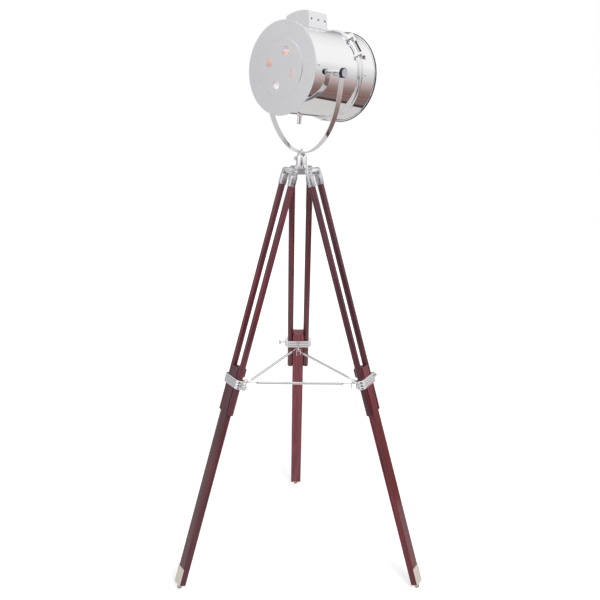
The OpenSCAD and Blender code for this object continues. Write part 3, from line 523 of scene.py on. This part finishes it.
class LampSettings(bpy.types.PropertyGroup):
    """Colours and sizes that a user of the lamp would change."""
    chrome_tint: FloatVectorProperty(
        name="Chrome tint", description="Colour of the chrome plate", subtype="COLOR", size=3, min=0, max=1,
        default=lin("#f8f8f9")[:3])
    satin_tint: FloatVectorProperty(
        name="Satin tint", description="Colour of the satin rear plate", subtype="COLOR", size=3, min=0,
        max=1, default=lin("#f0f0f2")[:3])
    wood_light: FloatVectorProperty(
        name="Wood light", description="Lightest tone of the mahogany stain", subtype="COLOR", size=3,
        min=0, max=1, default=lin("#7a2a35")[:3])
    wood_dark: FloatVectorProperty(
        name="Wood dark", description="Darkest tone of the mahogany stain", subtype="COLOR", size=3, min=0,
        max=1, default=lin("#471a24")[:3])
    varnish: FloatProperty(
        name="Varnish roughness", description="Roughness of the varnish on the legs", default=0.13,
        min=0.05, max=0.6)
    edge: FloatProperty(
        name="Edge break", description="Radius of the broken edges on the metal", default=0.0004, min=0.0,
        max=0.002, unit="LENGTH")
    floor_radius: FloatProperty(
        name="Floor radius", description="Radius of the pale floor", default=6.0, min=2.0, max=20.0,
        unit="LENGTH")


class Piece(bpy.types.Operator):
    """One group of pieces of the lamp, or its stage. build raises an error if it can't finish."""
    bl_options = {"REGISTER", "UNDO"}

    def build(self, settings):
        raise NotImplementedError

    def execute(self, context):
        self.build(context.scene.floor_lamp)
        return {"FINISHED"}


class LAMP_OT_stage(Piece):
    """Camera, floor, world and lamps of the studio"""
    bl_idname = "lamp.stage"
    bl_label = "Stage"

    def build(self, settings):
        scene = bpy.context.scene
        scene.view_settings.view_transform = "Standard"
        place_camera(scene)
        floor = mesh_object("studio_floor", lambda bm: bmesh.ops.create_circle(
            bm, cap_ends=True, radius=settings.floor_radius, segments=128))
        floor.location = (AXIS.x, AXIS.y, 0)
        floor.data.materials.append(floor_material("studio_floor"))
        world_light(scene)
        area_lamp("key_softbox", (3.2, -1.4, 3.0), (0, 0, 0.9), 2.0, 84.0)
        area_lamp("fill_softbox", (-2.8, -1.6, 2.2), (0, 0, 0.9), 2.4, 6.0)
        area_lamp("back_softbox", (0.6, 3.2, 2.6), (0, 0, 1.1), 2.0, 14.0)


def place_camera(scene):
    """Camera at the photograph's angle."""
    data = bpy.data.cameras.new("camera")
    data.lens = CAMERA_LENS
    data.sensor_width = 36.0
    data.clip_start = 0.05
    camera = link(bpy.data.objects.new("camera", data))
    level = math.cos(CAMERA_PITCH)
    forward = Vector((level * math.cos(CAMERA_AZIMUTH), level * math.sin(CAMERA_AZIMUTH),
                      math.sin(CAMERA_PITCH)))
    right = forward.cross(Vector((0, 0, 1))).normalized()
    up = right.cross(forward)
    c, s = math.cos(CAMERA_ROLL), math.sin(CAMERA_ROLL)
    turn = Matrix((right * c + up * s, up * c - right * s, -forward)).transposed()
    camera.matrix_world = Matrix.Translation(CAMERA_PLACE) @ turn.to_4x4()
    scene.camera = camera


def area_lamp(name, place, target, size, power):
    """Round soft light that neither the camera nor mirrors see."""
    data = bpy.data.lights.new(name, "AREA")
    data.shape = "DISK"
    data.size = size
    data.energy = power
    lamp = link(bpy.data.objects.new(name, data))
    lamp.location = place
    lamp.rotation_euler = (Vector(target) - Vector(place)).to_track_quat("-Z", "Y").to_euler()
    lamp.visible_camera = False
    lamp.visible_glossy = False


def along_floor(tree, split, x, y):
    """Distance from the lamp in the floor's direction (x, y)."""
    part = add(tree, "ShaderNodeMath", {"operation": "MULTIPLY", 1: x}, {0: split.outputs["X"]})
    return add(tree, "ShaderNodeMath", {"operation": "MULTIPLY_ADD", 1: y},
               {0: split.outputs["Y"], 2: part.outputs[0]}).outputs[0]


def seen(tree, path):
    """1 for rays of the camera and for those that go on through glass."""
    return add(tree, "ShaderNodeMath", {"operation": "MAXIMUM"},
               {0: path.outputs["Is Camera Ray"], 1: path.outputs["Is Transmission Ray"]}).outputs[0]


def floor_material(name):
    """Studio floor: seamless white paper that takes the lamp's shadow. In mirrors it is the floor of a
    photographer's room: paper round the lamp, brown boards with a dark joint to its right, and the
    shade of the room in front of and behind it."""
    material, tree, at = new_material(name)
    split = add(tree, "ShaderNodeSeparateXYZ", links={"Vector": at})
    right = along_floor(tree, split, RIGHT_X, RIGHT_Y)
    place = add(tree, "ShaderNodeMapRange", {"From Min": -1.0, "From Max": 6.0}, {"Value": right})
    boards = add(tree, "ShaderNodeValToRGB", links={"Fac": place.outputs[0]}, stops=[
        (0.0, "#d4d2d2"), (0.322, "#d2cecd"), (0.328, "#3d302e"), (0.345, "#4d3c39"), (0.36, "#7e6d6c"),
        (0.47, "#896963"), (0.61, "#92857d"), (0.74, "#b09a98"), (0.91, "#bfa5a6"), (1.0, "#c2abab")])
    # boards of about 120 mm: each has its own tone, drawn out along the joints
    row = add(tree, "ShaderNodeCombineXYZ", links={"X": right})
    tones = add(tree, "ShaderNodeTexNoise", {"Scale": 9.0, "Detail": 3.0, "Roughness": 0.7},
                {"Vector": row.outputs[0]})
    tone_factor = add(tree, "ShaderNodeMapRange",
                {"From Min": 0.35, "From Max": 0.65, "To Min": 0.55, "To Max": 1.42},
                {"Value": tones.outputs[0]})
    off_paper = add(tree, "ShaderNodeMapRange", {"From Min": 0.36, "From Max": 0.4},
                    {"Value": place.outputs[0]})
    board_tone = add(tree, "ShaderNodeMix", {"data_type": "FLOAT", 2: 1.0},
                     {0: off_paper.outputs[0], 3: tone_factor.outputs[0]})
    planks = add(tree, "ShaderNodeVectorMath", {"operation": "SCALE"},
                 {0: boards.outputs[0], "Scale": board_tone.outputs[0]})
    # the room's shade in front of and behind the lamp, from 2.6 m off
    away = add(tree, "ShaderNodeVectorMath", {"operation": "LENGTH"}, {0: at})
    ratio = add(tree, "ShaderNodeMath", {"operation": "DIVIDE"}, {0: right, 1: away.outputs["Value"]})
    level = add(tree, "ShaderNodeMath", {"operation": "ABSOLUTE"}, {0: ratio.outputs[0]})
    middle = add(tree, "ShaderNodeMapRange",
                 {"From Min": 0.1, "From Max": 0.45, "To Min": 1.0, "To Max": 0.0},
                 {"Value": level.outputs[0]})
    distant = add(tree, "ShaderNodeMapRange", {"From Min": 2.6, "From Max": 3.8},
                  {"Value": away.outputs["Value"]})
    shade = add(tree, "ShaderNodeMath", {"operation": "MULTIPLY"},
                {0: middle.outputs[0], 1: distant.outputs[0]})
    room = add(tree, "ShaderNodeMix", {"data_type": "RGBA", 7: lin("#6d6870")},
               {0: shade.outputs[0], 6: planks.outputs[0]})
    mirror = add(tree, "ShaderNodeEmission", links={"Color": room.outputs[2]})
    grain = add(tree, "ShaderNodeTexNoise", {"Scale": 220.0, "Detail": 4.0}, {"Vector": at})
    paper_tone = add(tree, "ShaderNodeValToRGB", links={"Fac": grain.outputs[0]},
                     stops=[(0.3, "#fbfbfb"), (0.7, "#ffffff")])
    # away from the lamp's shadow the paper turns to the white of the background
    path = add(tree, "ShaderNodeLightPath")
    clear = add(tree, "ShaderNodeMapRange", {"From Min": 0.9, "From Max": 2.6, "To Min": 0.42, "To Max": 0.8},
                {"Value": away.outputs["Value"]})
    lift = add(tree, "ShaderNodeMath", {"operation": "MULTIPLY"}, {0: seen(tree, path), 1: clear.outputs[0]})
    paper = add(tree, "ShaderNodeBsdfPrincipled", {"Roughness": 0.9, "Specular IOR Level": 0.1,
                                                   "Emission Color": lin("#ffffff")},
                {"Base Color": paper_tone.outputs[0], "Emission Strength": lift.outputs[0]})
    mix = add(tree, "ShaderNodeMixShader", links={0: path.outputs["Is Glossy Ray"], 1: paper.outputs[0],
                                                  2: mirror.outputs[0]})
    add(tree, "ShaderNodeOutputMaterial", links={"Surface": mix.outputs[0]})
    return material


def world_light(scene):
    """White studio, white to the camera and through glass. In mirrors it is a photographer's room: white
    overhead, a dark band of room at eye level in front of and behind the lamp, pale to its left, and
    on its right a window above brown boards."""
    world = bpy.data.worlds.new("studio")
    world.use_nodes = True
    tree = world.node_tree
    tree.nodes.clear()
    at = add(tree, "ShaderNodeTexCoord").outputs["Generated"]
    split = add(tree, "ShaderNodeSeparateXYZ", links={"Vector": at})
    right = along_floor(tree, split, RIGHT_X, RIGHT_Y)
    height = add(tree, "ShaderNodeMapRange", {"From Min": -1.0, "From Max": 1.0},
                 {"Value": split.outputs["Z"]})
    far = add(tree, "ShaderNodeValToRGB", links={"Fac": height.outputs[0]}, stops=[
        (0.375, "#cdc9c8"), (0.43, "#8d888c"), (0.50, "#4f4a55"), (0.55, "#77747a"), (0.625, "#a9a9ab"),
        (0.695, "#d1d1d1"), (0.83, "#f0f0f0"), (1.0, "#ffffff")])
    window = add(tree, "ShaderNodeValToRGB", links={"Fac": height.outputs[0]}, stops=[
        (0.37, "#bfa5a6"), (0.44, "#cbcaca"), (0.535, "#e1e1e1"), (0.63, "#fafafa"), (1.0, "#ffffff")])
    wall = add(tree, "ShaderNodeValToRGB", links={"Fac": height.outputs[0]}, stops=[
        (0.30, "#d2d2d4"), (0.45, "#d4d4d7"), (0.60, "#e6e6e8"), (0.80, "#f8f8f8"), (1.0, "#ffffff")])
    # the wall to the left grows brighter towards the camera's side
    near = along_floor(tree, split, RIGHT_Y, -RIGHT_X)
    sweep = add(tree, "ShaderNodeMapRange",
                {"From Min": -0.05, "From Max": 0.28, "To Min": 0.7, "To Max": 1.3},
                {"Value": near})
    swept = add(tree, "ShaderNodeVectorMath", {"operation": "SCALE"},
                {0: wall.outputs[0], "Scale": sweep.outputs[0]})
    to_right = add(tree, "ShaderNodeMapRange", {"From Min": 0.2, "From Max": 0.7}, {"Value": right})
    to_left = add(tree, "ShaderNodeMapRange", {"From Min": -0.2, "From Max": -0.6}, {"Value": right})
    far_window = add(tree, "ShaderNodeMix", {"data_type": "RGBA"},
                     {0: to_right.outputs[0], 6: far.outputs[0], 7: window.outputs[0]})
    walls = add(tree, "ShaderNodeMix", {"data_type": "RGBA"},
                {0: to_left.outputs[0], 6: far_window.outputs[2], 7: swept.outputs[0]})
    mirror = add(tree, "ShaderNodeBackground", {"Strength": 1.0}, {"Color": walls.outputs[2]})
    soft = add(tree, "ShaderNodeBackground", {"Color": lin("#ffffff"), "Strength": 0.44})
    clean = add(tree, "ShaderNodeBackground", {"Color": lin("#ffffff"), "Strength": 1.0})
    path = add(tree, "ShaderNodeLightPath")
    lit = add(tree, "ShaderNodeMixShader", links={0: path.outputs["Is Glossy Ray"], 1: soft.outputs[0],
                                                  2: mirror.outputs[0]})
    shown = add(tree, "ShaderNodeMixShader", links={0: seen(tree, path), 1: lit.outputs[0],
                                                    2: clean.outputs[0]})
    add(tree, "ShaderNodeOutputWorld", links={"Surface": shown.outputs[0]})
    scene.world = world


class LAMP_OT_legs(Piece):
    """Finish of the three legs: wooden rods, bars and stop blocks, cast ferrules and feet"""
    bl_idname = "lamp.legs"
    bl_label = "Legs"

    def build(self, settings):
        plate = satin("nickel_foot", lin("#f4ede2"), 0.22, 0.7)
        ball = chrome("steel_ball", lin("#b9b4ae"), 0.16)
        cup = cast_chrome("cast_chrome", lin("#ececf2"))
        for k in (1, 2, 3):
            # each leg's copy of the stain carries painted light, shade and sheen
            bar_wood = leg_tone_material(f"mahogany_{k}", k, BAR_TONE_AND_LIGHT[k - 1], settings)
            rod_wood = leg_tone_material(f"mahogany_rods_{k}", k, ROD_TONE_AND_LIGHT[k - 1], settings)
            dress(f"rods_{k}", rod_wood, 0.0008)
            dress(f"lower_bar_{k}", bar_wood, 0.0006)
            dress(f"stop_block_{k}", bar_wood, 0.0008)
            dress(f"ferrules_{k}", cup, 0.0006)
            dress(f"foot_plate_{k}", plate, 0.0005)
            dress(f"ball_foot_{k}", ball, 0)


def leg_tone_material(name, k, tone_factor, settings):
    """Mahogany of leg k, its stain scaled by the leg's tone, which carries painted light and sheen."""
    light, dark = (tuple(min(a * b, 1.0) for a, b in zip(stain, tone_factor))
                   for stain in (settings.wood_light, settings.wood_dark))
    return mahogany(name, LEG_AZIMUTHS[k - 1], light, dark, settings.varnish)


class LAMP_OT_fittings(Piece):
    """Finish of the chrome clamps, eye screws, thumbscrews, spreader and hub"""
    bl_idname = "lamp.fittings"
    bl_label = "Fittings"

    def build(self, settings):
        tint = rgba(settings.chrome_tint)
        bright = chrome("bright_chrome", tint, 0.04, 0.00004)
        # the clamps' grooves get painted shade in a dark grey
        grooved = chrome("grooved_chrome", tint, 0.06, 0.00004, lin("#4c4852"))
        wire = chrome("drawn_chrome_wire", tint, 0.08)
        for k in (1, 2, 3):
            dress(f"clamp_{k}", grooved, 0)
            dress(f"eye_screw_{k}", wire, 0.0002)
            dress(f"thumbscrew_{k}", bright, settings.edge)
            dress(f"spreader_{k}", wire, 0)
        dress("hub", bright, 0.0007, 3)
        dress("hinge_bolts", bright, 0.0003)
        dress("pan_lock_screw", bright, 0.0003)


class LAMP_OT_yoke(Piece):
    """The bent yoke strap with its bolt, spigot, spacers and tilt knobs"""
    bl_idname = "lamp.yoke"
    bl_label = "Yoke"

    def build(self, settings):
        bright = chrome("strap_chrome", rgba(settings.chrome_tint), 0.08)
        strap = mesh_object("yoke_strap_bent", build_strap)
        strap.data.materials.append(bright)
        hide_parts("yoke_strap")
        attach(strap, "yoke")
        for node in ("yoke_spigot", "yoke_bolt", "pivot_spacers"):
            dress(node, bright, settings.edge)
        black = bakelite("black_bakelite")
        cap = satin("knob_cap", lin("#d2d0df"), 0.24, 0.8)
        for node in ("tilt_knob_left", "tilt_knob_right"):
            dress(node, cap, settings.edge)
            paint(NODES[node], black,
                  lambda place, normal: abs(place.x) > KNOB_FROM and abs(normal.x) < 0.72)


class LAMP_OT_head(Piece):
    """Finish of the drum, rear plate, vent box, switch and bezel"""
    bl_idname = "lamp.head"
    bl_label = "Head"

    def build(self, settings):
        tint, pale = rgba(settings.chrome_tint), rgba(settings.satin_tint)
        spun = spun_chrome("spun_chrome", tint)
        bright = chrome("head_chrome", tint, 0.04)
        plate = satin("satin_plate", pale, 0.26, 0.85, turned=True)
        box = satin("satin_box", pale, 0.3, 0.75)
        for node in ("drum_shell", "bezel_ring"):
            dress(node, spun, 0)
        # painted shade: the rolled edge of the bezel gets a dark chrome for the dark line along its outline
        paint(NODES["bezel_ring"], chrome("rolled_edge_painted_shade", lin("#454548"), 0.12),
              lambda place, normal: place.y > LIP_FROM and math.hypot(place.x, place.z) > LIP_RADIUS)
        # the faces that look inwards, to the drum's axis, get enamel that glows with painted light
        lit = glow("enamel_painted_glow", [(0.06, "#a9acb8"), (0.14, "#f2f2f4"), (0.24, "#c4c6ce"), (0.4, "#e2d6cd"),
                                  (0.56, "#cdae9c"), (0.64, "#dcc6b9"), (0.76, "#e6dcd6"), (0.82, "#d3b29d"),
                                  (0.87, "#dcd9dc"), (0.93, "#9ba1b4")])
        paint(NODES["drum_shell"], lit,
              lambda place, normal: normal.x * place.x + normal.z * place.z < -0.03)
        for node in ("rear_plate", "rear_boss"):
            dress(node, plate, 0)
        for node in ("vent_box", "holder_bracket", "bezel_liner"):
            dress(node, box, settings.edge)
        for node in ("shell_screws", "vent_screws", "switch_body", "switch_knob", "bezel_screws",
                     "drum_hinge_leaves", "bezel_hinge_leaves", "bezel_tab"):
            dress(node, bright, 0.0002)
        dress("hinge_pin", dark_steel("blued_pin"), 0.0002)
        dress("cord_inlet", rubber("black_rubber"), 0.0003)


class LAMP_OT_light(Piece):
    """Finish of the reflector, lamp holder, bulb and lens"""
    bl_idname = "lamp.light"
    bl_label = "Light"

    def build(self, settings):
        dress("reflector", anodised("anodised_reflector"), 0)
        # the reflector's back glows with painted light in bands of grey, white and peach
        back = glow("reflector_back_painted_glow", [(0.1, "#c9ccd6"), (0.3, "#f2efee"), (0.42, "#ecc4a6"), (0.55, "#dfa27c"),
                                 (0.7, "#efd0bb"), (0.85, "#fbf6f2"), (1.0, "#c4c4ca")])
        paint(NODES["reflector"], back, lambda place, normal: normal.y < -0.05)  # its back
        dress("lamp_holder", porcelain("porcelain"), 0.0006)
        dress("bulb", frosted("frosted_bulb"), 0)
        dress("glass", lens("lens_glass"), 0.0003)


class LAMP_PT_panel(bpy.types.Panel):
    """Buttons and settings of the lamp in the 3D view sidebar"""
    bl_idname = "LAMP_PT_panel"
    bl_label = "Floor Lamp"
    bl_space_type = "VIEW_3D"
    bl_region_type = "UI"
    bl_category = "Floor Lamp"

    def draw(self, context):
        settings = context.scene.floor_lamp
        for name in LampSettings.__annotations__:
            self.layout.prop(settings, name)
        for piece in PIECES:
            self.layout.operator(piece.bl_idname)


PIECES = (LAMP_OT_stage, LAMP_OT_legs, LAMP_OT_fittings, LAMP_OT_yoke, LAMP_OT_head, LAMP_OT_light)
CLASSES = (LampSettings, *PIECES, LAMP_PT_panel)


def register():
    """Adds the lamp's classes and settings to Blender."""
    for cls in CLASSES:
        bpy.utils.register_class(cls)
    bpy.types.Scene.floor_lamp = PointerProperty(type=LampSettings)


def unregister():
    """Takes them out again, in the other order."""
    del bpy.types.Scene.floor_lamp
    for cls in reversed(CLASSES):
        bpy.utils.unregister_class(cls)


def main():
    """Builds the lamp and its stage."""
    register()
    bpy.ops.lamp.stage()
    bpy.ops.lamp.legs()
    bpy.ops.lamp.fittings()
    bpy.ops.lamp.yoke()
    bpy.ops.lamp.head()
    bpy.ops.lamp.light()


if __name__ == "__main__":
    main()
